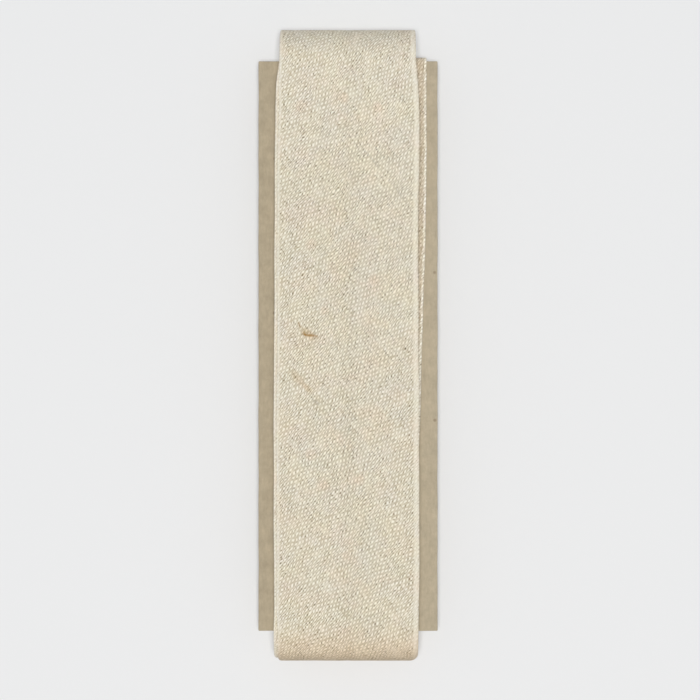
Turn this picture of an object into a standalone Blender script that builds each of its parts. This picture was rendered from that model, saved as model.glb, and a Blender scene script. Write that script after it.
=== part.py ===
"""Bias binding wound flat on a card, lying on its back.

The binding is a strip of cloth with both edges folded in. It is wound lengthwise round a card
that is a little wider, so the card shows along both sides. Long axis +Y, thickness +Z, and the
origin is under the middle of the roll, on the surface that it lies on.
"""

import math

import bpy

MM = 0.001

# Sizes of the card and of the folded binding.
CARD_LENGTH = 102.3 * MM
CARD_WIDTH = 32.2 * MM
CARD_THICKNESS = 1.2 * MM
CARD_EDGE_WEAR = 0.2 * MM
CARD_OFF_MIDDLE = -0.13 * MM
BINDING_WIDTH = 25.0 * MM

# A turn is two layers of cloth with a little air, so each lies one pitch further out.
TURNS = 11
PITCH = 0.5 * MM
FIT_GAP = 0.3 * MM
SLOT_NOSE = 0.4 * MM
CROWN = 0.2 * MM

# The strip starts under the first turn, on the back near the high (+Y) end. It passes that place
# once more than it passes the rest and is cut off on the back near the low (-Y) end.
START_Y = 47.0 * MM
START_CLIMB = 5.0 * MM
TAIL_Y = -43.0 * MM
TAIL_CUT = 0.4 * MM

# How far in mm each turn lies to the side of the middle, innermost first, at the low and the high
# end. Three show from above: the innermost slews out to the right towards the high end, and the
# last but one lies a little to the left of the outermost.
SIDEWAYS = (
    {"low": -0.10, "high": 1.38},
    {"low": -0.35, "high": 0.05},
    {"low": -0.10, "high": -0.30},
    {"low": -0.45, "high": -0.05},
    {"low": 0.00, "high": 0.10},
    {"low": -0.50, "high": -0.35},
    {"low": -0.15, "high": 0.00},
    {"low": -0.40, "high": -0.20},
    {"low": -0.05, "high": 0.05},
    {"low": -0.76, "high": -0.48},
    {"low": 0.05, "high": 0.20},
)
SLEW_FROM = -30.0 * MM
SLEW_TO = 30.0 * MM

# The two outermost turns are drawn together to these edges where they go over the high end.
DRAWN_LEFT = -12.15 * MM
DRAWN_RIGHT = 11.90 * MM
DRAWN_FROM = 45.0 * MM
DRAWN_TO = 53.0 * MM
DRAWN_TURNS = 2

# The outermost turn's corners are rounded where it goes over the two ends, much more at the low
# one. The rounding fades towards the inner turns.
LOW_CORNER = 0.9 * MM
HIGH_CORNER = 0.15 * MM
FADE_INWARDS = 2

# Stations of the loft round the roll, and places across its outer face.
TOP_STEPS = 8
BACK_STATIONS = (30.0 * MM, 15.0 * MM, 0.0, -15.0 * MM, -30.0 * MM)
BEND_STEPS = 12
ACROSS = (1.0, 0.98, 0.955, 0.925, 0.5, 0.0, -0.5, -0.925, -0.955, -0.98, -1.0)
FOLD_EASE = 0.09 * MM
SHARP_ANGLE = math.radians(35)

HALF_CARD = CARD_THICKNESS / 2
BEND_CENTRE = CARD_LENGTH / 2 - HALF_CARD
BUILD = TURNS * PITCH
MIDDLE_Z = HALF_CARD + BUILD + PITCH

CLOTH_COLOUR = (0.68, 0.61, 0.49, 1.0)
CLOTH_ROUGHNESS = 0.9
BOARD_COLOUR = (0.42, 0.36, 0.25, 1.0)
BOARD_ROUGHNESS = 0.85


def mix(a, b, share):
    return a + (b - a) * share


def smooth_step(low, high, value):
    """0 below low, 1 above high, and a smooth rise between them."""
    share = min(1.0, max(0.0, (value - low) / (high - low)))
    return share * share * (3 - 2 * share)


def make_material(name, colour, roughness):
    """A plain Principled material."""
    material = bpy.data.materials.new(name)
    material.use_nodes = True
    shader = material.node_tree.nodes["Principled BSDF"]
    shader.inputs["Base Color"].default_value = colour
    shader.inputs["Roughness"].default_value = roughness
    shader.inputs["Metallic"].default_value = 0.0
    return material


def stations():
    """The places round the roll where its section is worked out, in order.

    Each is (run, at). The run "top" goes from the low end to the high one and "back" returns,
    with at the distance from the roll's middle. "high" and "low" are the bends between them,
    with at the angle turned so far.
    """
    step = 2 * BEND_CENTRE / TOP_STEPS
    angles = [math.pi * index / BEND_STEPS for index in range(BEND_STEPS)]
    steps_of_turns = (START_Y, START_Y - START_CLIMB, TAIL_Y, TAIL_Y - TAIL_CUT)
    along_back = sorted((BEND_CENTRE,) + steps_of_turns + BACK_STATIONS, reverse=True)
    found = [("top", index * step - BEND_CENTRE) for index in range(TOP_STEPS)]
    found += [("high", angle) for angle in angles]
    found += [("back", at) for at in along_back]
    found += [("low", angle) for angle in angles]
    return found


def build_at(run, at, layer):
    """How far out from the card a turn's outer side lies. Layer 0 is the inside of the first."""
    whole = BUILD
    if run == "back" and at > TAIL_Y - TAIL_CUT / 2:
        whole += PITCH * (1 - smooth_step(START_Y - START_CLIMB, START_Y, at))
    return mix(FIT_GAP, whole, layer / TURNS)


def place(run, at, out, x):
    """The point that lies a distance out from the card's surface, x to the side of the middle."""
    reach = HALF_CARD + out
    if run == "top":
        lift = CROWN * (out / BUILD) * (1 - (at / BEND_CENTRE) ** 2)
        return (x, at, MIDDLE_Z + reach + lift)
    if run == "back":
        return (x, at, MIDDLE_Z - reach)
    # The slot is longer than the card, so that the card's corners stay clear of it.
    reach += SLOT_NOSE * math.sin(at) * max(0.0, 1 - (out - FIT_GAP) / PITCH)
    side = 1 if run == "high" else -1
    y = side * (BEND_CENTRE + reach * math.sin(at))
    return (x, y, MIDDLE_Z + side * reach * math.cos(at))


def turn_edges(run, at, layer):
    """The left and right edge of a turn. Layer 1 is the innermost."""
    y = place(run, at, BUILD, 0.0)[1]
    row = SIDEWAYS[layer - 1]
    middle = mix(row["low"], row["high"], smooth_step(SLEW_FROM, SLEW_TO, y)) * MM
    left = middle - BINDING_WIDTH / 2
    right = middle + BINDING_WIDTH / 2
    if layer > TURNS - DRAWN_TURNS:
        drawn = smooth_step(DRAWN_FROM, DRAWN_TO, y)
        left = mix(left, DRAWN_LEFT, drawn)
        right = mix(right, DRAWN_RIGHT, drawn)
    return left, right


def corner_drop(run, at, across, layer):
    """How far a bend is drawn in near the binding's edges: a quarter circle at the outermost
    turn. across is 0 in the middle and 1 or -1 at the edges."""
    if run not in ("high", "low"):
        return 0.0
    radius = HIGH_CORNER if run == "high" else LOW_CORNER
    past = min(radius, max(0.0, radius - (1 - abs(across)) * BINDING_WIDTH / 2))
    drop = radius - math.sqrt(radius**2 - past**2)
    return drop * math.sin(at) * (layer / TURNS) ** FADE_INWARDS


def side_points(run, at, side):
    """One side of the section, from the card out, with a low step at each turn's folded edge."""
    points = []
    for layer in range(1, TURNS + 1):
        x = turn_edges(run, at, layer)[side]
        inner = build_at(run, at, layer - 1) - corner_drop(run, at, 1.0, layer - 1)
        outer = build_at(run, at, layer) - corner_drop(run, at, 1.0, layer)
        ease = FOLD_EASE if layer > 1 else 0.0
        points.append(place(run, at, inner + ease, x))
        points.append(place(run, at, outer - FOLD_EASE, x))
    return points


def section(run, at):
    """A closed loop: up the right side, over the outer face, and down the left side."""
    left, right = turn_edges(run, at, TURNS)
    middle = (left + right) / 2
    half = (right - left) / 2 - FOLD_EASE
    outer_face = []
    for across in ACROSS:
        out = build_at(run, at, TURNS) - corner_drop(run, at, across, TURNS)
        outer_face.append(place(run, at, out, middle + half * across))
    return side_points(run, at, 1) + outer_face + side_points(run, at, 0)[::-1]


def make_binding(collection):
    """The wound binding, a loft between sections that differ all the way round."""
    sections = [section(run, at) for run, at in stations()]
    around = len(sections)
    across = len(sections[0])
    points = [point for one in sections for point in one]
    faces = []
    for row in range(around):
        here = row * across
        following = (row + 1) % around * across
        for column in range(across):
            beside = (column + 1) % across
            faces.append((here + column, following + column, following + beside, here + beside))
    mesh = bpy.data.meshes.new("binding")
    mesh.from_pydata(points, [], faces)
    mesh.shade_smooth()
    mesh.set_sharp_from_angle(angle=SHARP_ANGLE)
    mesh.materials.append(make_material("unbleached cloth", CLOTH_COLOUR, CLOTH_ROUGHNESS))
    collection.objects.link(bpy.data.objects.new("binding", mesh))


def make_card(collection):
    """The board that the binding is wound on, with its edges slightly worn."""
    bpy.ops.mesh.primitive_cube_add(size=1.0, location=(0.0, CARD_OFF_MIDDLE, MIDDLE_Z))
    card = bpy.context.object
    card.name = "card"
    card.scale = (CARD_WIDTH, CARD_LENGTH, CARD_THICKNESS)
    bpy.ops.object.transform_apply(location=False, rotation=False, scale=True)
    wear = card.modifiers.new("edge wear", "BEVEL")
    wear.width = CARD_EDGE_WEAR
    wear.segments = 2
    card.data.materials.append(make_material("uncoated board", BOARD_COLOUR, BOARD_ROUGHNESS))
    for holder in list(card.users_collection):
        holder.objects.unlink(card)
    collection.objects.link(card)


def main():
    for old in list(bpy.data.objects):
        bpy.data.objects.remove(old, do_unlink=True)
    collection = bpy.data.collections.new("roll of bias binding")
    bpy.context.scene.collection.children.link(collection)
    make_card(collection)
    make_binding(collection)


main()
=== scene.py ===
"""Bias binding wound on a card: the cloth, the board and the studio.

The strip of cloth is one sheet. Both its edges are folded in to the middle, and it is wound
lengthwise round the card in one unbroken spiral of a little over eleven turns. Its weave is drawn
in the flat cloth's own coordinates, in millimetres, so the threads run on round every fold.
"""

import math

import bpy
import numpy as np
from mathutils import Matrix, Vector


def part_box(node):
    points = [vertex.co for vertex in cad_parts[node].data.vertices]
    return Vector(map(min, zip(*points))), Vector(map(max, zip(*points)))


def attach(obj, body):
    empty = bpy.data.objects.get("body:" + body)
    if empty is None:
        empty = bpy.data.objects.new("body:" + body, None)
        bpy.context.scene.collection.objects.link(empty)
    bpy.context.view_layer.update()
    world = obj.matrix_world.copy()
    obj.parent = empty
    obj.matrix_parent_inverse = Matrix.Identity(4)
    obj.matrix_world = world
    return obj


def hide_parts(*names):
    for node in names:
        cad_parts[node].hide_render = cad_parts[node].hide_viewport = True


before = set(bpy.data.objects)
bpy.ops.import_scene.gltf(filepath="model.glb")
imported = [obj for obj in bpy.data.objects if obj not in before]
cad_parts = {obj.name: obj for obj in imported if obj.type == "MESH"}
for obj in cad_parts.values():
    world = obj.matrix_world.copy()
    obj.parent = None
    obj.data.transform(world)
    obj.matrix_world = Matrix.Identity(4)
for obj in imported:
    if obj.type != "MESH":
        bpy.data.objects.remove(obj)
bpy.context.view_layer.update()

bl_info = {
    "name": "Bias binding roll",
    "version": (1, 0, 0),
    "blender": (4, 5, 0),
    "location": "3D View > Sidebar > Binding",
    "description": "Winds a folded strip of bias-cut cloth round a card",
    "category": "Object",
}

MM = 0.001

# The card as the solids give it: its box sets where the strip is wound.
CARD_LOW, CARD_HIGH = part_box("card")
CARD_SIZE = CARD_HIGH - CARD_LOW
CARD_MIDDLE = (CARD_HIGH + CARD_LOW) / 2
HALF_CARD = CARD_SIZE.z / 2

# The winding's bends turn about two lines, one near each end of the card.
BEND_CENTRE = 50.55 * MM
MIDDLE_Z = 6.6 * MM
TURNS = 11
START_Y = 47.0 * MM
START_CLIMB = 5.0 * MM
TAIL_Y = -43.0 * MM
STRAIGHT_STEPS = 26
BEND_STEPS = 16

# How far in mm the middle of each turn lies to the side, innermost first, at the low (-Y) and
# high (+Y) ends of the upper face. The first and the last two are measured more closely below.
SIDEWAYS = (
    {"low": -0.10, "high": 1.54},
    {"low": -0.35, "high": 0.05},
    {"low": -0.10, "high": -0.30},
    {"low": -0.45, "high": -0.05},
    {"low": 0.00, "high": 0.02},
    {"low": -0.50, "high": -0.35},
    {"low": -0.15, "high": 0.00},
    {"low": -0.40, "high": -0.20},
    {"low": -0.05, "high": 0.03},
    {"low": -0.76, "high": -0.48},
    {"low": 0.05, "high": 0.10},
)

# The left and right edges in mm of the turns that show on the upper face, at a distance along
# the roll. The innermost slews out to the right towards the high end.
UPPER_EDGES = {
    0: (
        {"y": -50.0, "left": -12.60, "right": 12.40},
        {"y": -22.0, "left": -12.36, "right": 12.64},
        {"y": -9.7, "left": -11.93, "right": 13.07},
        {"y": -3.1, "left": -11.82, "right": 13.18},
        {"y": 3.2, "left": -11.67, "right": 13.33},
        {"y": 9.6, "left": -11.48, "right": 13.52},
        {"y": 15.5, "left": -11.18, "right": 13.82},
        {"y": 22.2, "left": -11.05, "right": 13.95},
        {"y": 27.5, "left": -10.93, "right": 14.07},
        {"y": 50.0, "left": -10.93, "right": 14.07},
    ),
    9: (
        {"y": -50.0, "left": -13.06, "right": 11.94},
        {"y": -36.0, "left": -13.14, "right": 11.86},
        {"y": -15.0, "left": -13.24, "right": 11.76},
        {"y": -7.0, "left": -13.20, "right": 11.80},
        {"y": 1.0, "left": -13.05, "right": 11.95},
        {"y": 10.0, "left": -13.05, "right": 11.95},
        {"y": 17.0, "left": -13.11, "right": 11.89},
        {"y": 31.0, "left": -12.99, "right": 12.01},
        {"y": 44.0, "left": -12.84, "right": 12.04},
    ),
    10: (
        {"y": -50.0, "left": -12.58, "right": 12.52},
        {"y": -44.0, "left": -12.66, "right": 12.64},
        {"y": -9.0, "left": -12.66, "right": 12.64},
        {"y": -3.0, "left": -12.56, "right": 12.50},
        {"y": 24.0, "left": -12.54, "right": 12.46},
        {"y": 31.0, "left": -12.52, "right": 12.64},
        {"y": 38.0, "left": -12.46, "right": 12.64},
        {"y": 44.0, "left": -12.15, "right": 12.60},
    ),
}

# Over the high end every turn but the first is drawn together to these edges, in mm, moved to
# the side by a share of the turn's own place. DRAWN_OVER is how far before and after the bend
# this starts and ends, where 1 is the way from one bend to the next.
DRAWN_LEFT = -12.12
DRAWN_RIGHT = 12.05
DRAWN_SHARE = 0.2
DRAWN_OVER = 0.06

# The left and right edges of the last length, on the back: at a share of the way along it, and
# where it would reach the next bend if it weren't cut off.
LAST_EDGES = (-12.45 * MM, 12.45 * MM)
LAST_EDGES_AT = 0.3
TAIL_EDGES = (-12.30 * MM, 12.60 * MM)

# The folded strip in section, and its slow unevenness. FOLD_AIR is half the air between its two
# layers.
CARD_CLEARANCE = 0.05 * MM
FOLD_AIR = 0.005 * MM
FOLD_STEPS = 6
FACE_PLACES = (
    -1.0, -0.985, -0.965, -0.94, -0.91, -0.82, -0.66, -0.5, -0.3, -0.13, -0.07, -0.035, 0.0,
)
FLANGE_PLACES = (0.0, 0.04, 0.15, 0.4, 0.7, 0.9, 1.0)
CENTRE_DIP = 0.04 * MM
CENTRE_DIP_WIDTH = 0.45 * MM
DIP_WANDER = (0.15 * MM, 0.10 * MM)
UNEVENNESS = (0.018 * MM, 0.008 * MM)
EDGE_WAVES = (0.04 * MM, 0.03 * MM)
CROWN = 0.2 * MM

# How round the outermost turn's left and right corners are where it goes over the two ends.
LOW_CORNERS = (0.60 * MM, 1.40 * MM)
HIGH_CORNERS = (0.30 * MM, 0.30 * MM)

# The board: the points along and across it, how far its face and outline wander, where its
# outermost points start as a share of its width or length, and how worn its cut edge is.
BOARD_ROWS = 128
BOARD_COLUMNS = 41
BOARD_INSET = 0.04 * MM
BOARD_WANDER = 0.03 * MM
BOARD_RIM = 0.49
BOARD_WEAR = 0.16 * MM
# The board's colour at its left and at its right; the right one is painted lighter, painted light.
BOARD_COLOURS = ("#B0A38B", "#B6AA93")

# The weave: for each set of threads, threads per mm across the strip and along it.
FINE_THREADS = (2.177, -1.726)
COARSE_THREADS = (1.235, 0.970)

# The camera: a long lens straight above. The picture's middle lies a little off the roll's.
LENS = 135.0
SENSOR = 36.0
FIELD = 124.1 * MM
UPPER_FACE_Z = 12.8 * MM
PICTURE_MIDDLE = (0.355 * MM, -0.84 * MM)

# The lights: where each stands, the point it is turned to, its size and its colour. The floor
# reaches as far as FLOOR_REACH to each side.
OVERHEAD = {"place": (0.0, -0.05, 1.2), "aim": (0, 0, 0), "size": 0.25, "colour": "#FFFFFF"}
LOW = {"place": (0.05, -0.7, 0.45), "aim": (0, -0.05, 0), "size": 0.25, "colour": "#FFE2C0"}
FLOOR_REACH = 2.0


def linear(hex_colour):
    """Linear red, green, blue and 1 from an sRGB hex value."""
    parts = [int(hex_colour[i : i + 2], 16) / 255 for i in (1, 3, 5)]
    red, green, blue = (p / 12.92 if p <= 0.04045 else ((p + 0.055) / 1.055) ** 2.4 for p in parts)
    return red, green, blue, 1.0


def smooth_step(low, high, value):
    """0 below low, 1 above high, and 3t^2 - 2t^3 between them."""
    t = np.clip((value - low) / (high - low), 0.0, 1.0)
    return t * t * (3 - 2 * t)


def add_node(tree, kind, inputs=(), output=0, **settings):
    """Adds a node and gives one of its outputs. inputs holds numbers, colours and the outputs of
    other nodes, by place or by name, and settings holds the node's own choices."""
    node = tree.nodes.new("ShaderNode" + kind)
    for key, value in settings.items():
        setattr(node, key, value)
    for key, value in inputs.items() if isinstance(inputs, dict) else enumerate(inputs):
        if isinstance(value, bpy.types.NodeSocket):
            tree.links.new(value, node.inputs[key])
        else:
            node.inputs[key].default_value = value
    return node.outputs[output]


def grid_object(name, points, uv=None):
    """An object from a grid of points (rows, columns, 3). uv is (rows, columns, 2), for a map
    named flat."""
    rows, columns = points.shape[:2]
    index = np.arange(rows * columns).reshape(rows, columns)
    corners = (index[:-1, :-1], index[:-1, 1:], index[1:, 1:], index[1:, :-1])
    faces = np.stack([c.ravel() for c in corners], axis=1)
    mesh = bpy.data.meshes.new(name)
    mesh.from_pydata(points.reshape(-1, 3), [], faces)
    if uv is not None:
        layer = mesh.uv_layers.new(name="flat")
        layer.data.foreach_set("uv", uv.reshape(-1, 2)[faces.ravel()].astype(np.float32).ravel())
    mesh.shade_smooth()
    made = bpy.data.objects.new(name, mesh)
    bpy.context.scene.collection.objects.link(made)
    return made


# The strip of cloth


def strip_stations():
    """The places along the strip, from its start on the card to its cut end.

    Returns arrays: run (0 back, 1 low bend, 2 upper face, 3 high bend), at (distance along the
    roll, or the angle turned so far) and turn (how many whole turns lie under it).
    """
    back = np.linspace(BEND_CENTRE, -BEND_CENTRE, STRAIGHT_STEPS, endpoint=False)
    bend = np.linspace(0, np.pi, BEND_STEPS, endpoint=False)
    once_at = np.concatenate([back, bend, -back, bend])
    once_run = np.repeat([0, 1, 2, 3], [STRAIGHT_STEPS, BEND_STEPS, STRAIGHT_STEPS, BEND_STEPS])
    at = np.tile(once_at, TURNS + 1)
    run = np.tile(once_run, TURNS + 1)
    turn = np.repeat(np.arange(TURNS + 1), len(once_at))
    before_start = (turn == 0) & (run == 0) & (at > START_Y)
    after_tail = (turn == TURNS) & ((run > 0) | (at < TAIL_Y))
    keep = ~(before_start | after_tail)
    run, at, turn = run[keep], at[keep], turn[keep]
    at[0] = START_Y
    at[-1] = TAIL_Y
    return run, at, turn


def strip_centreline(pitch):
    """The strip's middle line and the outward direction at each station, in the YZ plane.

    A turn lies (turn + 1/2) pitches out from the card. On the straight runs it keeps that
    distance. In a bend it goes round the bend's centre in a half circle. On the back, where the
    strip starts, every later turn climbs one pitch in a smooth step over the start.
    """
    run, at, turn = strip_stations()
    climbed = np.where(turn > 0, 1 - smooth_step(START_Y - START_CLIMB, START_Y, at), 1.0)
    level = np.where(run == 0, turn - 1 + climbed, turn)
    out = CARD_CLEARANCE + (level + 0.5) * pitch
    reach = HALF_CARD + out
    side = np.choose(run, [0, -1, 0, 1])
    up = np.choose(run, [-1, -1, 1, 1]).astype(float)
    angle = np.where(side != 0, at, 0.0)
    normal_y = side * np.sin(angle)
    normal_z = up * np.cos(angle)
    middle_y = np.where(side != 0, side * BEND_CENTRE, at)
    crown = CROWN * (out / (TURNS * pitch)) * (1 - (at / BEND_CENTRE) ** 2) * (run == 2)
    y = middle_y + reach * normal_y
    z = MIDDLE_Z + reach * normal_z + crown
    step = np.hypot(np.diff(y), np.diff(z))
    along = np.concatenate([[0.0], np.cumsum(step)])
    outer_middle = np.argmin(np.abs(at) + 10 * (run != 2) + 10 * (turn != TURNS - 1))
    along -= along[outer_middle] - y[outer_middle]
    return run, at, turn, out, y, z, normal_y, normal_z, along


def strip_edges(run, at, turn, width):
    """The left and right edge at each station.

    Each turn is given at the two ends of the upper face, and the outer ones at more places. The
    leg number grows by one from bend to bend, and the edges run straight between known legs. Two
    slow waves along the strip are added.
    """
    passed = np.choose(run, [BEND_CENTRE - at, 0 * at, at + BEND_CENTRE, 0 * at])
    leg = 2.0 * turn + np.choose(run, [0, 1, 1, 2]) + passed / (2 * BEND_CENTRE)
    known = {0.0: (-width / 2, width / 2)}
    for number, row in enumerate(SIDEWAYS):
        low, high = (row[key] * MM for key in ("low", "high"))
        known[2.0 * number + 1] = (low - width / 2, low + width / 2)
        for place in (-DRAWN_OVER, DRAWN_OVER):
            known[2.0 * number + 2 + place] = (high - width / 2, high + width / 2)
        if number > 0:
            aside = DRAWN_SHARE * high
            known[2.0 * number + 2] = (DRAWN_LEFT * MM + aside, DRAWN_RIGHT * MM + aside)
    for number, rows in UPPER_EDGES.items():
        for row in rows:
            place = 2 * number + 1 + (row["y"] * MM + BEND_CENTRE) / (2 * BEND_CENTRE)
            known[place] = (row["left"] * MM, row["right"] * MM)
    known[2.0 * TURNS + LAST_EDGES_AT] = LAST_EDGES
    known[2.0 * TURNS + 1] = TAIL_EDGES
    places = sorted(known)
    left = np.interp(leg, places, [known[p][0] for p in places])
    right = np.interp(leg, places, [known[p][1] for p in places])
    wave = EDGE_WAVES[0] * np.sin(leg * 17.3) + EDGE_WAVES[1] * np.sin(leg * 41.1 + 1.0)
    return left + wave, right + 0.8 * wave


def folded_section(width, thickness, gap):
    """The strip's section, on its mid-surface: across and out in metres, and the flat cloth's u.

    From one raw edge out to the fold, half a circle round it, across the face, half a circle
    round the other fold, and in to the other raw edge. across is given as a share of half the
    face's width plus a fixed distance, so that the face can stretch where the edges move.
    """
    radius = thickness / 2 + FOLD_AIR
    half_face = width / 2 - thickness / 2 - radius
    places = np.array(FACE_PLACES)
    face = np.concatenate([places, -places[-2::-1]])
    turned = np.linspace(0, np.pi, FOLD_STEPS + 2)[1:-1]
    flange_in = 1 - np.array(FLANGE_PLACES) * (1 - gap / 2 / half_face)
    share = np.concatenate([
        -flange_in[::-1], -np.ones(FOLD_STEPS), face, np.ones(FOLD_STEPS), flange_in,
    ])
    extra = np.concatenate([
        np.zeros(len(flange_in)), -radius * np.sin(turned), np.zeros(len(face)),
        radius * np.sin(turned), np.zeros(len(flange_in)),
    ])
    out = np.concatenate([
        np.full(len(flange_in), -radius), -radius * np.cos(turned), np.full(len(face), radius),
        radius * np.cos(turned), np.full(len(flange_in), -radius),
    ])
    across = share * half_face + extra
    flat = np.concatenate([[0.0], np.cumsum(np.hypot(np.diff(across), np.diff(out)))])
    flat -= flat[len(flat) // 2]
    return share, extra, out, flat


def make_strip(settings):
    """The whole strip: its folded section carried along the spiral.

    A point is the centreline's point, plus its distance across along X, plus its distance out
    along the outward direction. The face dips in a bell curve over the joint of the two raw
    edges, which wanders to both sides. The whole section rises and falls in four crossed slow
    waves, and the bends are drawn in towards their corners in quarter circles.
    """
    pitch = settings.pitch
    run, at, turn, out, y, z, normal_y, normal_z, along = strip_centreline(pitch)
    left, right = strip_edges(run, at, turn, settings.width)
    share, extra, lift, flat = folded_section(settings.width, settings.thickness, settings.gap)
    inset = settings.thickness + FOLD_AIR
    half_face = (right - left) / 2 - inset
    x = (left + right)[:, None] / 2 + share * half_face[:, None] + extra
    on_face = lift > 0
    wander = DIP_WANDER[0] * np.sin(along / (9 * MM))
    wander = wander + DIP_WANDER[1] * np.sin(along / (3.7 * MM) + 2)
    dip = CENTRE_DIP * np.exp(-(((flat - wander[:, None]) / CENTRE_DIP_WIDTH) ** 2))
    v = along[:, None] / MM
    u = flat / MM
    slow = np.sin(u * 0.41 + v * 0.13) * np.sin(v * 0.173 - u * 0.22 + 1.3)
    quick = np.sin(u * 0.9 - v * 0.31 + 0.7) * np.sin(v * 0.52 + u * 0.37)
    uneven = UNEVENNESS[0] * slow + UNEVENNESS[1] * quick
    depth = lift - dip * on_face + uneven
    bend = np.sin(np.where(np.isin(run, (1, 3)), at, 0.0))
    for side, edge in enumerate((left, right)):
        corner = np.choose(run, [0.0, LOW_CORNERS[side], 0.0, HIGH_CORNERS[side]])[:, None]
        inside = np.abs(x - edge[:, None])
        past = np.clip(corner - inside, 0.0, corner)
        drop = corner - np.sqrt(corner**2 - past**2)
        depth = depth - drop * (bend * out / (TURNS * pitch))[:, None]
    points = np.stack([
        x,
        y[:, None] + depth * normal_y[:, None],
        z[:, None] + depth * normal_z[:, None],
    ], axis=2)
    uv = np.stack(np.broadcast_arrays(u[None, :], v), axis=2)
    strip = grid_object("wound_strip", points, uv=uv)
    thicken = strip.modifiers.new("cloth thickness", "SOLIDIFY")
    thicken.thickness = settings.thickness
    thicken.offset = 0.0
    length = along[-1] - along[0]
    return strip, flat[-1] - flat[0], length


# Flaws in the cloth on the outermost turn: the place across and along the strip, the half length
# and half width, the lean from the strip's width towards its length, and the strength. Lengths
# are in mm.
FLECKS = (
    {"place": (-6.7, 1.75), "size": (1.70, 0.32), "lean": -6, "shade": 0.72, "kind": "rust"},
    {"place": (-7.7, 2.05), "size": (0.75, 0.34), "lean": -62, "shade": 0.62, "kind": "rust"},
    {"place": (-5.5, 1.55), "size": (0.70, 0.34), "lean": -50, "shade": 0.35, "kind": "rust"},
    {"place": (-8.6, 3.60), "size": (0.80, 0.42), "lean": -60, "shade": 0.34, "kind": "rust"},
    {"place": (5.3, 5.7), "size": (0.35, 0.25), "lean": 0, "shade": 0.45, "kind": "rust"},
    {"place": (-5.5, -10.1), "size": (1.40, 0.45), "lean": -35, "shade": 0.32, "kind": "grey"},
    {"place": (4.2, 33.0), "size": (4.20, 0.22), "lean": -50, "shade": 0.24, "kind": "grey"},
    {"place": (9.1, 27.0), "size": (3.60, 0.22), "lean": -53, "shade": 0.20, "kind": "grey"},
    {"place": (0.7, -9.4), "size": (0.50, 0.30), "lean": 60, "shade": 0.35, "kind": "grey"},
    {"place": (0.4, -14.8), "size": (0.70, 0.28), "lean": 80, "shade": 0.30, "kind": "grey"},
    {"place": (0.9, -20.0), "size": (0.50, 0.30), "lean": 40, "shade": 0.30, "kind": "grey"},
    {"place": (0.2, -25.1), "size": (0.60, 0.25), "lean": 70, "shade": 0.28, "kind": "grey"},
)

# Yarns of a tan shade on the outermost turn, in the same values.
TAN_YARNS = (
    {"place": (-7.0, 2.00), "size": (2.40, 1.10), "lean": -35, "shade": 0.50},
    {"place": (-8.8, -5.9), "size": (2.80, 1.10), "lean": -50, "shade": 0.34},
    {"place": (-7.1, -7.6), "size": (1.40, 0.80), "lean": -50, "shade": 0.40},
)

# Soft warm blotches on the outermost turn: place and half size in mm.
BLOTCHES = (
    {"place": (-8.6, 42.5), "size": 1.6},
    {"place": (-0.9, 44.0), "size": 1.3},
    {"place": (5.1, 42.0), "size": 1.4},
    {"place": (-6.5, 17.8), "size": 1.5},
    {"place": (4.7, 11.6), "size": 1.4},
    {"place": (-4.2, 6.2), "size": 1.2},
    {"place": (-6.5, -19.4), "size": 1.6},
    {"place": (-4.2, -24.8), "size": 1.5},
    {"place": (2.0, -23.9), "size": 1.4},
)

# Painted warm shade towards the low end of the outermost turn, where it turns down: where it
# starts and is full in mm along the strip, its strength and its colour.
END_PAINTED_SHADE = (
    (-48.0, -56.0, 0.60, "#DDC5A4"),
    (-54.0, -58.5, 0.65, "#B3A184"),
)
# Along the strip in mm, where the painted shade fades in, so that it is only on the outermost turn.
END_PAINTED_SHADE_STOPS = (-79.0, -63.0)

# Further back than these distances in mm along the strip, it is on the turns under the two
# outermost, and on the innermost turn.
INNER_TURNS = -380.0
FIRST_TURN = -2130.0


def patch(tree, flat, place, lean, half_size, strength):
    """A strength in the middle of an ellipse on the cloth, with a smooth fall to 0 at its edge.
    lean turns the ellipse, in degrees."""
    inputs = {
        "Vector": flat,
        "Location": (*place, 0.0),
        "Rotation": (0.0, 0.0, math.radians(lean)),
        "Scale": (*half_size, 1.0),
    }
    turned = add_node(tree, "Mapping", inputs, vector_type="TEXTURE")
    far = add_node(tree, "VectorMath", [turned], "Value", operation="LENGTH")
    inputs = {"Value": far, "From Min": 1.0, "From Max": 0.25, "To Max": strength}
    return add_node(tree, "MapRange", inputs, interpolation_type="SMOOTHSTEP")


def stain(tree, colour, patches, hex_colour):
    """A colour with patches of another on it."""
    whole = 0.0
    for one in patches:
        whole = add_node(tree, "Math", (whole, one), operation="ADD")
    inputs = {0: whole, 6: colour, 7: linear(hex_colour)}
    return add_node(tree, "Mix", inputs, 2, data_type="RGBA", clamp_factor=True)


def thread_set(tree, flat, per_mm):
    """One set of threads: its phase, which grows by 1 from thread to thread, and each thread's
    number; a wave that changes sign from thread to thread, sin(pi phase); and the threads' rounded
    height, the wave's size to the power 0.8, which is 0 between threads and 1 on top."""
    phase = add_node(tree, "VectorMath", (flat, (*per_mm, 0.0)), "Value", operation="DOT_PRODUCT")
    angle = add_node(tree, "Math", (phase, math.pi), operation="MULTIPLY")
    wave = add_node(tree, "Math", [angle], operation="SINE")
    size = add_node(tree, "Math", [wave], operation="ABSOLUTE")
    height = add_node(tree, "Math", (size, 0.8), operation="POWER")
    number = add_node(tree, "Math", [phase], operation="FLOOR")
    return phase, number, wave, height


def yarn_unevenness(tree, number, other_phase, seed):
    """Uneven yarn: noise that differs from thread to thread and changes every few mm along."""
    thread = add_node(tree, "Math", (number, 7.31), operation="MULTIPLY")
    along = add_node(tree, "Math", (other_phase, 0.16), operation="MULTIPLY")
    place = add_node(tree, "CombineXYZ", (thread, along, seed))
    return add_node(tree, "TexNoise", {"Vector": place, "Scale": 1.0, "Roughness": 0.6})


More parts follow.
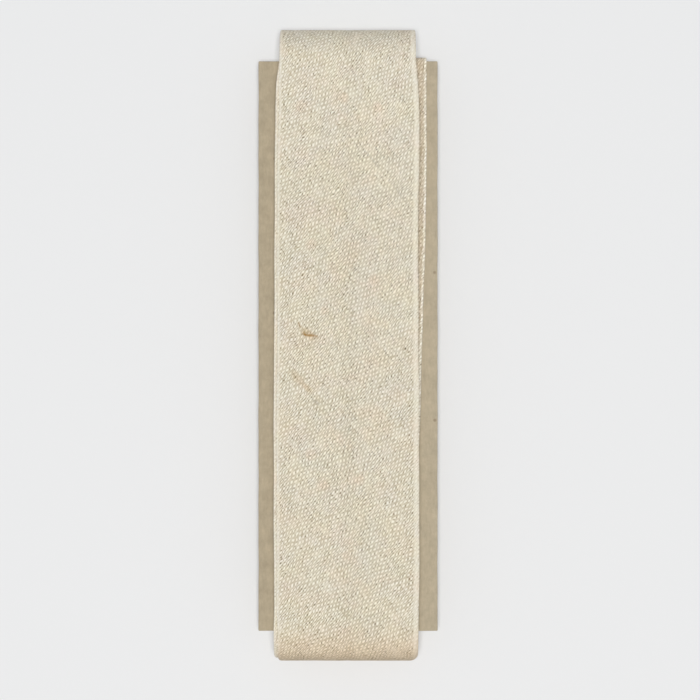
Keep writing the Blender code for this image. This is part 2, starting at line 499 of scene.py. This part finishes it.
def cell_noise(tree, fine_phase, coarse_phase, shift):
    """A random number for each crossing of two threads, or, shifted by a half, for each gap."""
    cell = []
    for phase in (fine_phase, coarse_phase):
        moved = add_node(tree, "Math", (phase, shift), operation="ADD")
        cell.append(add_node(tree, "Math", [moved], operation="FLOOR"))
    place = add_node(tree, "CombineXYZ", cell)
    return add_node(tree, "TexWhiteNoise", {"Vector": place}, "Value", noise_dimensions="2D")


def cloth_material(settings):
    """Unbleached cotton and linen plain weave, cut on the bias and pressed.

    Plain weave: each thread goes over one and under the next, so the surface is a chequer of
    short raised lengths with gaps between them, painted dark as painted shade. The fine threads
    stand higher.
    yarn is spun uneven, so threads differ in thickness and shade, with slubs and bits of husk.
    The eye sees a matte cream with a lean to its grain, and no gloss.
    """
    material = bpy.data.materials.new("unbleached cotton linen plain weave")
    material.use_nodes = True
    tree = material.node_tree
    shader = tree.nodes["Principled BSDF"]
    flat = add_node(tree, "UVMap", uv_map="flat")
    u = add_node(tree, "SeparateXYZ", [flat])
    v = u.node.outputs[1]

    # Uneven spinning bends the threads: up to about 0.2 mm to the side, over a few mm.
    inputs = {"Vector": flat, "Scale": 0.22, "Detail": 4.0, "Roughness": 0.75}
    wander = add_node(tree, "TexNoise", inputs, "Color", noise_dimensions="2D")
    inputs = (wander, (1.1, 1.1, 0.0), (-0.55, -0.55, 0.0))
    aside = add_node(tree, "VectorMath", inputs, operation="MULTIPLY_ADD")
    bent = add_node(tree, "VectorMath", (flat, aside), operation="ADD")
    fine_phase, fine_number, fine_wave, fine = thread_set(tree, bent, FINE_THREADS)
    coarse_phase, coarse_number, coarse_wave, coarse = thread_set(tree, bent, COARSE_THREADS)

    # Where the fine thread lies over the coarse one, over is 1, and where under, -1.
    over = add_node(tree, "Math", (fine_wave, coarse_wave), operation="MULTIPLY")
    fine_lift = add_node(tree, "Math", (over, 0.42, 0.58), operation="MULTIPLY_ADD")
    coarse_lift = add_node(tree, "Math", (over, -0.40, 0.50), operation="MULTIPLY_ADD")
    fine_top = add_node(tree, "Math", (fine, fine_lift), operation="MULTIPLY")
    coarse_top = add_node(tree, "Math", (coarse, coarse_lift), operation="MULTIPLY")
    relief = add_node(tree, "Math", (fine_top, coarse_top), operation="MAXIMUM")

    # The crossings line up in diagonals, and the steeper diagonal stands out a little.
    steep = add_node(tree, "Math", (fine_phase, coarse_phase), operation="ADD")
    steep = add_node(tree, "Math", (steep, math.pi), operation="MULTIPLY")
    diagonal = add_node(tree, "Math", [steep], operation="COSINE")

    fine_yarn = yarn_unevenness(tree, fine_number, coarse_phase, 0.0)
    coarse_yarn = yarn_unevenness(tree, coarse_number, fine_phase, 5.0)

    # Between two threads of each set is a gap, and a few gaps are open, painted dark as painted
    # shade. They lie in short rows along the thin lengths of the coarse yarns.
    fine_gap = add_node(tree, "Math", (1.0, fine), operation="SUBTRACT")
    coarse_gap = add_node(tree, "Math", (1.0, coarse), operation="SUBTRACT")
    gap = add_node(tree, "Math", (fine_gap, coarse_gap), operation="MULTIPLY")
    open_gap = cell_noise(tree, fine_phase, coarse_phase, 0.5)
    thin = add_node(tree, "Math", (0.5, coarse_yarn), operation="SUBTRACT")
    open_gap = add_node(tree, "Math", (thin, 1.5, open_gap), operation="MULTIPLY_ADD")
    inputs = {"Value": open_gap, "From Min": 0.72, "From Max": 0.96}
    open_gap = add_node(tree, "MapRange", inputs)
    open_gap = add_node(tree, "Math", (open_gap, gap), operation="MULTIPLY")

    # Slow unevenness of the cloth itself, over about 4 mm.
    inputs = {"Vector": flat, "Scale": 0.26, "Detail": 4.0, "Roughness": 0.7}
    cloud = add_node(tree, "TexNoise", inputs, noise_dimensions="2D")

    # In places the fine threads are packed tight and show as lines, and elsewhere as beads.
    inputs = {"Vector": flat, "Scale": 0.30, "Detail": 3.0, "Roughness": 0.6}
    tight = add_node(tree, "TexNoise", inputs, noise_dimensions="2D")
    inputs = {"Value": tight, "From Min": 0.38, "From Max": 0.66, "To Min": 0.65, "To Max": 1.5}
    tight = add_node(tree, "MapRange", inputs)
    # Painted shade: the hollows between the fine threads are painted darker than their tops.
    fine_lines = add_node(tree, "Math", (fine, 0.68), operation="SUBTRACT")
    fine_lines = add_node(tree, "Math", (fine_lines, tight), operation="MULTIPLY")

    # Loose fibres blur the threads and part them in places.
    inputs = {"Vector": flat, "Scale": 2.6, "Detail": 1.0}
    fuzz = add_node(tree, "TexNoise", inputs, noise_dimensions="2D")

    # The face is painted slightly darker in a patchy band along its middle: painted shade of the
    # shallow dip over the joint of the raw edges under it. Towards the high end it is painted
    # paler, painted light. The folds get a painted highlight along a crest, which is a little
    # further in at the right one and stands out more at the left one. On the outer turns they are
    # rubbed smooth and get a wider painted highlight, more so at the right one.
    across = add_node(tree, "Math", [u], operation="ABSOLUTE")
    inputs = {"Value": across, "From Min": 1.7, "From Max": 0.3}
    dip_shade_band = add_node(tree, "MapRange", inputs, interpolation_type="SMOOTHSTEP")
    inputs = {"Vector": flat, "Scale": 0.5, "Detail": 2.0}
    patchy = add_node(tree, "TexNoise", inputs, noise_dimensions="2D")
    dip_shade_band = add_node(tree, "Math", (dip_shade_band, patchy), operation="MULTIPLY")
    # Painted light: the face is painted paler towards the high end.
    inputs = {"Value": v, "From Min": 20.0, "From Max": 56.0}
    painted_light_high_end = add_node(tree, "MapRange", inputs, interpolation_type="SMOOTHSTEP")
    side = add_node(tree, "Math", [u], operation="SIGN")
    inputs = {"Value": v, "From Min": FIRST_TURN + 40.0, "From Max": FIRST_TURN}
    innermost = add_node(tree, "MapRange", inputs)
    inset = add_node(tree, "Math", (innermost, -0.35, 0.25), operation="MULTIPLY_ADD")
    half_width = settings.width / 2 / MM
    from_fold = add_node(tree, "Math", (side, inset, across), operation="MULTIPLY_ADD")
    from_fold = add_node(tree, "Math", (from_fold, half_width - 0.3), operation="SUBTRACT")
    from_fold = add_node(tree, "Math", [from_fold], operation="ABSOLUTE")
    inputs = {"Value": from_fold, "From Min": 0.58, "From Max": 0.36}
    smooth = add_node(tree, "MapRange", inputs, interpolation_type="SMOOTHSTEP")
    inputs = {"Value": v, "From Min": INNER_TURNS, "From Max": INNER_TURNS + 40.0}
    outer = add_node(tree, "MapRange", inputs)
    smooth = add_node(tree, "Math", (smooth, outer), operation="MULTIPLY")
    # Painted highlight: the fold zone of the outer turns is painted paler, more at the right.
    by_side = add_node(tree, "Math", (side, 0.20, 0.65), operation="MULTIPLY_ADD")
    painted_fold_highlight = add_node(tree, "Math", (smooth, by_side), operation="MULTIPLY")
    inputs = {"Value": from_fold, "From Min": 0.42, "From Max": 0.10}
    crease = add_node(tree, "MapRange", inputs, interpolation_type="SMOOTHSTEP")
    # Painted highlight along the folds' crests.
    by_side = add_node(tree, "Math", (side, -0.35, 1.35), operation="MULTIPLY_ADD")
    painted_crest_highlight = add_node(tree, "Math", (crease, by_side), operation="MULTIPLY")
    # Painted highlight on the innermost turn's raised fold.
    inner_fold_highlight = add_node(tree, "Math", (innermost, crease), operation="MULTIPLY")

    # Tone and painted shade: each part is taken from its own middle value and multiplied by its
    # contrast. The gaps between threads, darker than the tops, and the dark open gaps are painted
    # shade in the weave's hollows. The weave's contrast is lower where the cloth is rubbed smooth,
    # and its tops, pressed flat, all come to about the same shade.
    weave = 0.0
    for part, middle, contrast in (
        (over, 0.0, settings.weave_contrast),
        (diagonal, 0.0, -settings.diagonal_contrast),
        (fine_lines, 0.0, settings.fine_gap_contrast),
        (coarse, 0.68, settings.coarse_gap_contrast),
        (open_gap, 0.0, -1.0),
        (fine_yarn, 0.5, settings.fine_yarn_contrast),
        (coarse_yarn, 0.5, settings.coarse_yarn_contrast),
        (cell_noise(tree, fine_phase, coarse_phase, 0.0), 0.5, settings.crossing_contrast),
        (cloud, 0.5, 0.045),
        (fuzz, 0.5, 0.22),
    ):
        inputs = (part, contrast, -middle * contrast)
        part = add_node(tree, "Math", inputs, operation="MULTIPLY_ADD")
        weave = add_node(tree, "Math", (weave, part), operation="ADD")
    weave = add_node(tree, "Math", (weave, 0.27, 0.20), operation="SMOOTH_MIN")
    kept = add_node(tree, "Math", (smooth, -0.57, 0.95), operation="MULTIPLY_ADD")
    level = add_node(tree, "Math", (weave, kept, 1.0), operation="MULTIPLY_ADD")
    # Painted shade along the middle band, painted highlights on the folds and painted light towards
    # the high end.
    for part, strength in (
        (dip_shade_band, -0.055),
        (painted_fold_highlight, 0.070),
        (painted_crest_highlight, 0.070),
        (inner_fold_highlight, 0.090),
        (painted_light_high_end, 0.035),
    ):
        level = add_node(tree, "Math", (part, strength, level), operation="MULTIPLY_ADD")

    # The unbleached colour drifts between yellowish, greyish and pinkish every few mm.
    inputs = {"Vector": flat, "Scale": 0.18, "Detail": 5.0, "Roughness": 0.70}
    drift = add_node(tree, "TexNoise", inputs, "Color", noise_dimensions="2D")
    yellowish = add_node(tree, "SeparateColor", [drift])
    pinkish = yellowish.node.outputs[1]
    inputs = {"Value": yellowish, "From Min": 0.35, "From Max": 0.65}
    factor = add_node(tree, "MapRange", inputs)
    inputs = {0: factor, 6: linear("#DBD3C2"), 7: linear("#DED5BE")}
    colour = add_node(tree, "Mix", inputs, 2, data_type="RGBA")
    for start, full, hex_colour in ((0.50, 0.72, "#E1CEBA"), (0.50, 0.28, "#D6D3BF")):
        inputs = {"Value": pinkish, "From Min": start, "From Max": full, "To Max": 0.38}
        factor = add_node(tree, "MapRange", inputs)
        inputs = {0: factor, 6: colour, 7: linear(hex_colour)}
        colour = add_node(tree, "Mix", inputs, 2, data_type="RGBA")
    marks = [patch(tree, flat, b["place"], 0.0, (b["size"], b["size"]), 0.30) for b in BLOTCHES]
    colour = stain(tree, colour, marks, "#DCC3AA")
    marks = [patch(tree, flat, f["place"], f["lean"], f["size"], f["shade"]) for f in TAN_YARNS]
    colour = stain(tree, colour, marks, "#C2A578")

    # The low end is painted a warm shade, and its turned-down part darker still: painted shade
    # where the face turns away from the light.
    inputs = {"Value": v, "From Min": END_PAINTED_SHADE_STOPS[0], "From Max": END_PAINTED_SHADE_STOPS[1]}
    this_turn = add_node(tree, "MapRange", inputs, interpolation_type="SMOOTHSTEP")
    for start, full, strength, hex_colour in END_PAINTED_SHADE:
        inputs = {"Value": v, "From Min": start, "From Max": full, "To Max": strength}
        brown = add_node(tree, "MapRange", inputs, interpolation_type="SMOOTHSTEP")
        brown = add_node(tree, "Math", (brown, this_turn), operation="MULTIPLY")
        colour = stain(tree, colour, [brown], hex_colour)

    # The innermost turn is painted browner and darker, painted shade on its ledge beside the higher
    # turns, less so on its raised fold, which has a painted highlight.
    brown = add_node(tree, "Math", (innermost, inner_fold_highlight), operation="SUBTRACT")
    brown = add_node(tree, "Math", (brown, 0.55), operation="MULTIPLY")
    colour = stain(tree, colour, [brown], "#C2B199")

    # Light that has gone deeper between the yarns comes back warmer, so the darker a place is,
    # the less blue it keeps.
    green = add_node(tree, "Math", (level, 1.16), operation="POWER")
    blue = add_node(tree, "Math", (level, 1.48), operation="POWER")
    level = add_node(tree, "CombineXYZ", (level, green, blue))
    shaded = add_node(tree, "VectorMath", (colour, level), operation="MULTIPLY")

    # Slubs and husk: sparse, drawn out along the coarse threads.
    thread = add_node(tree, "Math", (coarse_phase, 0.72), operation="MULTIPLY")
    along = add_node(tree, "Math", (fine_phase, 0.08), operation="MULTIPLY")
    place = add_node(tree, "CombineXYZ", (thread, along))
    inputs = {"Vector": place, "Scale": 1.0, "Detail": 1.0}
    husk = add_node(tree, "TexNoise", inputs, noise_dimensions="2D")
    inputs = {"Value": husk, "From Min": 0.70, "From Max": 0.82, "To Max": 0.2}
    husk = add_node(tree, "MapRange", inputs, interpolation_type="SMOOTHSTEP")
    shaded = stain(tree, shaded, [husk], "#A08660")
    for kind, hex_colour in (("rust", "#9E783A"), ("grey", "#8F8676")):
        marks = [
            patch(tree, flat, f["place"], f["lean"], f["size"], f["shade"])
            for f in FLECKS
            if f["kind"] == kind
        ]
        shaded = stain(tree, shaded, marks, hex_colour)

    inputs = {"Strength": 0.7, "Distance": 0.09 * MM, "Height": relief}
    bump = add_node(tree, "Bump", inputs)
    tree.links.new(shaded, shader.inputs["Base Color"])
    tree.links.new(bump, shader.inputs["Normal"])
    shader.inputs["Roughness"].default_value = 0.88
    shader.inputs["Specular IOR Level"].default_value = 0.25
    shader.inputs["Sheen Weight"].default_value = 0.08
    shader.inputs["Sheen Roughness"].default_value = 0.5
    return material


# The card


def make_board(settings):
    """The card: a flat grid, thickened, with its cut edges slightly worn.

    Points lie on an even grid over the board. It is warped by a slow wave of 0.03 mm, and its
    outline wanders by as much, as a guillotined board's does.
    """
    along = np.linspace(-0.5, 0.5, BOARD_ROWS)[:, None]
    across = np.linspace(-0.5, 0.5, BOARD_COLUMNS)[None, :]
    ragged_x = BOARD_WANDER * np.sin(along * 61) * np.sin(along * 23 + 1)
    ragged_y = BOARD_WANDER * np.sin(across * 37 + 2) * np.sin(across * 13)
    side_rim = np.sign(across) * (np.abs(across) > BOARD_RIM)
    end_rim = np.sign(along) * (np.abs(along) > BOARD_RIM)
    x = across * (settings.board_width - 2 * BOARD_INSET) + ragged_x * side_rim
    y = along * (settings.board_length - 2 * BOARD_INSET) + ragged_y * end_rim
    z = BOARD_WANDER * np.sin(along * 5 + 0.6) * np.cos(across * 3)
    middle = np.array(CARD_MIDDLE)
    points = np.stack(np.broadcast_arrays(x, y, z), axis=2) + middle
    board = grid_object("board_card", points)
    thicken = board.modifiers.new("board thickness", "SOLIDIFY")
    thicken.thickness = settings.board_thickness
    thicken.offset = 0.0
    wear = board.modifiers.new("worn edges", "BEVEL")
    wear.width = BOARD_WEAR
    wear.segments = 2
    wear.angle_limit = math.radians(50)
    return board


def board_material():
    """Uncoated board of recycled pulp, cut on a guillotine.

    Pulp board: short fibres lie flat in every direction, with darker bits among them. The eye
    sees a matte grey-brown with fine mottling, small flecks, and layers on the cut edge.
    """
    material = bpy.data.materials.new("uncoated pulp board")
    material.use_nodes = True
    tree = material.node_tree
    shader = tree.nodes["Principled BSDF"]
    place = add_node(tree, "TexCoord", output="Object")

    # Object coordinates are metres, so a scale of 1000 is a grain of about 1 mm.
    inputs = {"Vector": place, "Scale": 420.0, "Detail": 5.0, "Roughness": 0.7}
    mottle = add_node(tree, "TexNoise", inputs)
    stretched = add_node(tree, "Mapping", {"Vector": place, "Scale": (2600.0, 700.0, 2600.0)})
    inputs = {"Vector": stretched, "Scale": 1.0, "Detail": 3.0, "Roughness": 0.7, "Distortion": 0.6}
    fibres = add_node(tree, "TexNoise", inputs)
    stretched = add_node(tree, "Mapping", {"Vector": place, "Scale": (300.0, 300.0, 9000.0)})
    layers = add_node(tree, "TexNoise", {"Vector": stretched, "Scale": 1.0, "Detail": 2.0})
    level = 1.0
    for part, contrast in ((mottle, 0.55), (fibres, 0.35), (layers, 0.06)):
        part = add_node(tree, "Math", (part, contrast, -contrast / 2), operation="MULTIPLY_ADD")
        level = add_node(tree, "Math", (level, part), operation="ADD")

    # One bit of waste in seven shows, as a small dark fleck.
    distance = add_node(tree, "TexVoronoi", {"Vector": place, "Scale": 380.0}, "Distance")
    inputs = {"Value": distance, "From Min": 0.16, "From Max": 0.06, "To Max": 0.45}
    bit = add_node(tree, "MapRange", inputs, interpolation_type="SMOOTHSTEP")
    chance = add_node(tree, "SeparateColor", [distance.node.outputs["Color"]])
    chosen = add_node(tree, "Math", (chance, 0.86), operation="GREATER_THAN")
    bit = add_node(tree, "Math", (bit, chosen), operation="MULTIPLY")

    # The board is painted a little lighter towards the right, painted light, with a random drift.
    drift = add_node(tree, "TexNoise", {"Vector": place, "Scale": 230.0, "Detail": 3.0})
    x = add_node(tree, "SeparateXYZ", [place])
    painted_light_and_drift = add_node(tree, "Math", (x, 1 / CARD_SIZE.x, drift), operation="MULTIPLY_ADD")
    inputs = {0: painted_light_and_drift, 6: linear(BOARD_COLOURS[0]), 7: linear(BOARD_COLOURS[1])}
    colour = add_node(tree, "Mix", inputs, 2, data_type="RGBA", clamp_factor=True)
    shaded = add_node(tree, "VectorMath", {0: colour, "Scale": level}, operation="SCALE")
    shaded = stain(tree, shaded, [bit], "#6B5740")
    relief = add_node(tree, "Math", (mottle, fibres), operation="ADD")
    inputs = {"Strength": 0.5, "Distance": 0.03 * MM, "Height": relief}
    bump = add_node(tree, "Bump", inputs)
    tree.links.new(shaded, shader.inputs["Base Color"])
    tree.links.new(bump, shader.inputs["Normal"])
    shader.inputs["Roughness"].default_value = 0.85
    shader.inputs["Specular IOR Level"].default_value = 0.3
    return material


# The studio


def floor_material(colour):
    """Matte photographer's paper: even and pale, with a faint tooth and no gloss."""
    material = bpy.data.materials.new("matte background paper")
    material.use_nodes = True
    tree = material.node_tree
    shader = tree.nodes["Principled BSDF"]
    place = add_node(tree, "TexCoord", output="Object")
    tooth = add_node(tree, "TexNoise", {"Vector": place, "Scale": 900.0, "Detail": 2.0})
    inputs = {"Strength": 0.05, "Distance": 0.02 * MM, "Height": tooth}
    bump = add_node(tree, "Bump", inputs)
    tree.links.new(bump, shader.inputs["Normal"])
    shader.inputs["Base Color"].default_value = colour
    shader.inputs["Roughness"].default_value = 1.0
    shader.inputs["Specular IOR Level"].default_value = 0.0
    return material


def add_area_light(name, power, place, aim, size, colour):
    """A square soft light at a place, turned to face a point."""
    data = bpy.data.lights.new(name, "AREA")
    data.shape = "SQUARE"
    data.size = size
    data.energy = power
    data.color = linear(colour)[:3]
    light = bpy.data.objects.new(name, data)
    bpy.context.scene.collection.objects.link(light)
    light.location = place
    away = [there - here for there, here in zip(aim, place)]
    flat = math.hypot(away[0], away[1])
    light.rotation_euler = (math.atan2(flat, -away[2]), 0.0, math.atan2(-away[0], away[1]))


def make_stage(settings):
    """The paper floor, the even light all round, two soft lights and the camera."""
    side = np.linspace(-FLOOR_REACH, FLOOR_REACH, 3)
    x, y = np.meshgrid(side, side)
    floor = grid_object("paper_floor", np.stack([x, y, 0 * x], axis=2))
    floor.data.materials.append(floor_material(settings.floor_colour))
    world = bpy.data.worlds.new("even studio light")
    world.use_nodes = True
    background = world.node_tree.nodes["Background"]
    background.inputs["Color"].default_value = (1.0, 1.0, 1.0, 1.0)
    background.inputs["Strength"].default_value = settings.even_light
    scene = bpy.context.scene
    scene.world = world
    add_area_light("overhead soft light", settings.overhead_power, **OVERHEAD)
    add_area_light("low warm light", settings.low_power, **LOW)
    data = bpy.data.cameras.new("camera")
    data.lens = LENS
    data.sensor_width = SENSOR
    data.clip_start = 0.01
    camera = bpy.data.objects.new("camera", data)
    scene.collection.objects.link(camera)
    height = UPPER_FACE_Z + FIELD / 2 * LENS / (SENSOR / 2)
    camera.location = (*PICTURE_MIDDLE, height)
    scene.camera = camera
    scene.view_settings.view_transform = "Standard"


# The add-on


class StripSettings(bpy.types.PropertyGroup):
    """Sizes and weave of the strip of cloth."""

    width: bpy.props.FloatProperty(
        name="Folded width", description="Width of the binding as folded", default=25.0 * MM,
        unit="LENGTH", precision=5,
    )
    thickness: bpy.props.FloatProperty(
        name="Cloth thickness", description="Thickness of one layer of cloth", default=0.2 * MM,
        unit="LENGTH", precision=5,
    )
    gap: bpy.props.FloatProperty(
        name="Gap between raw edges", description="Distance between the two folded-in edges",
        default=1.2 * MM, unit="LENGTH", precision=5,
    )
    pitch: bpy.props.FloatProperty(
        name="Pitch", description="How much further out each turn lies", default=0.4958 * MM,
        unit="LENGTH", precision=5,
    )
    weave_contrast: bpy.props.FloatProperty(
        name="Weave contrast", description="How much paler the fine threads are than the coarse",
        default=0.27, subtype="FACTOR",
    )
    diagonal_contrast: bpy.props.FloatProperty(
        name="Diagonal contrast", description="How much the steeper diagonal stands out",
        default=0.025, subtype="FACTOR",
    )
    fine_gap_contrast: bpy.props.FloatProperty(
        name="Fine gap contrast", description="How much darker the gaps between fine threads are",
        default=0.62, subtype="FACTOR",
    )
    coarse_gap_contrast: bpy.props.FloatProperty(
        name="Coarse gap contrast", default=0.25, subtype="FACTOR",
        description="How much darker the gaps between coarse threads are",
    )
    fine_yarn_contrast: bpy.props.FloatProperty(
        name="Fine yarn contrast", description="How much the fine yarns differ in shade",
        default=0.12, subtype="FACTOR",
    )
    coarse_yarn_contrast: bpy.props.FloatProperty(
        name="Coarse yarn contrast", description="How much the coarse yarns differ in shade",
        default=0.30, subtype="FACTOR",
    )
    crossing_contrast: bpy.props.FloatProperty(
        name="Crossing contrast", description="How much single thread crossings differ in shade",
        default=0.18, subtype="FACTOR",
    )


class BoardSettings(bpy.types.PropertyGroup):
    """Sizes of the card."""

    board_width: bpy.props.FloatProperty(
        name="Card width", description="Width of the card", default=CARD_SIZE.x, unit="LENGTH",
    )
    board_length: bpy.props.FloatProperty(
        name="Card length", description="Length of the card", default=CARD_SIZE.y, unit="LENGTH",
    )
    board_thickness: bpy.props.FloatProperty(
        name="Card thickness", description="Thickness of the card", default=CARD_SIZE.z,
        unit="LENGTH",
    )


class StageSettings(bpy.types.PropertyGroup):
    """The floor's colour and the lights."""

    floor_colour: bpy.props.FloatVectorProperty(
        name="Floor colour", description="Colour of the background paper", subtype="COLOR",
        size=4, default=linear("#EBECED"),
    )
    even_light: bpy.props.FloatProperty(
        name="Even light", description="Strength of the light from all round", default=0.32,
    )
    overhead_power: bpy.props.FloatProperty(
        name="Overhead light", description="Power of the soft light above", default=9.65,
        unit="POWER",
    )
    low_power: bpy.props.FloatProperty(
        name="Low light", description="Power of the warm light from the near end", default=0.23,
        unit="POWER",
    )


class BINDING_OT_wind_strip(bpy.types.Operator):
    """Wind the folded strip of cloth round the card"""

    bl_idname = "binding.wind_strip"
    bl_label = "Wind the strip"

    def execute(self, context):
        if "board_card" not in bpy.data.objects:
            raise RuntimeError("The card has to be made first, because the strip is wound on it.")
        settings = context.scene.binding_strip
        strip, flat_width, length = make_strip(settings)
        strip.data.materials.append(cloth_material(settings))
        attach(strip, "root")
        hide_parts("binding")
        print(f"strip: {flat_width / MM:.1f} mm wide flat, {length:.3f} m long")
        return {"FINISHED"}


class BINDING_OT_make_card(bpy.types.Operator):
    """Make the card that the strip is wound on"""

    bl_idname = "binding.make_card"
    bl_label = "Make the card"

    def execute(self, context):
        board = make_board(context.scene.binding_board)
        board.data.materials.append(board_material())
        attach(board, "root")
        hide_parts("card")
        return {"FINISHED"}


class BINDING_OT_set_stage(bpy.types.Operator):
    """Set up the floor, the lights and the camera"""

    bl_idname = "binding.set_stage"
    bl_label = "Set the stage"

    def execute(self, context):
        make_stage(context.scene.binding_stage)
        return {"FINISHED"}


class BINDING_PT_roll(bpy.types.Panel):
    """The steps that make the roll, in order"""

    bl_label = "Bias binding roll"
    bl_idname = "BINDING_PT_roll"
    bl_space_type = "VIEW_3D"
    bl_region_type = "UI"
    bl_category = "Binding"

    def draw(self, context):
        layout = self.layout
        scene = context.scene
        for group in (scene.binding_strip, scene.binding_board, scene.binding_stage):
            for name in group.bl_rna.properties.keys():
                if name not in ("rna_type", "name"):
                    layout.prop(group, name)
        layout.operator("binding.make_card")
        layout.operator("binding.wind_strip")
        layout.operator("binding.set_stage")


CLASSES = (
    StripSettings,
    BoardSettings,
    StageSettings,
    BINDING_OT_wind_strip,
    BINDING_OT_make_card,
    BINDING_OT_set_stage,
    BINDING_PT_roll,
)


def register():
    for one in CLASSES:
        bpy.utils.register_class(one)
    bpy.types.Scene.binding_strip = bpy.props.PointerProperty(type=StripSettings)
    bpy.types.Scene.binding_board = bpy.props.PointerProperty(type=BoardSettings)
    bpy.types.Scene.binding_stage = bpy.props.PointerProperty(type=StageSettings)


def unregister():
    del bpy.types.Scene.binding_stage
    del bpy.types.Scene.binding_board
    del bpy.types.Scene.binding_strip
    for one in reversed(CLASSES):
        bpy.utils.unregister_class(one)


def main():
    register()
    bpy.ops.binding.make_card()
    bpy.ops.binding.wind_strip()
    bpy.ops.binding.set_stage()


if __name__ == "__main__":
    main()
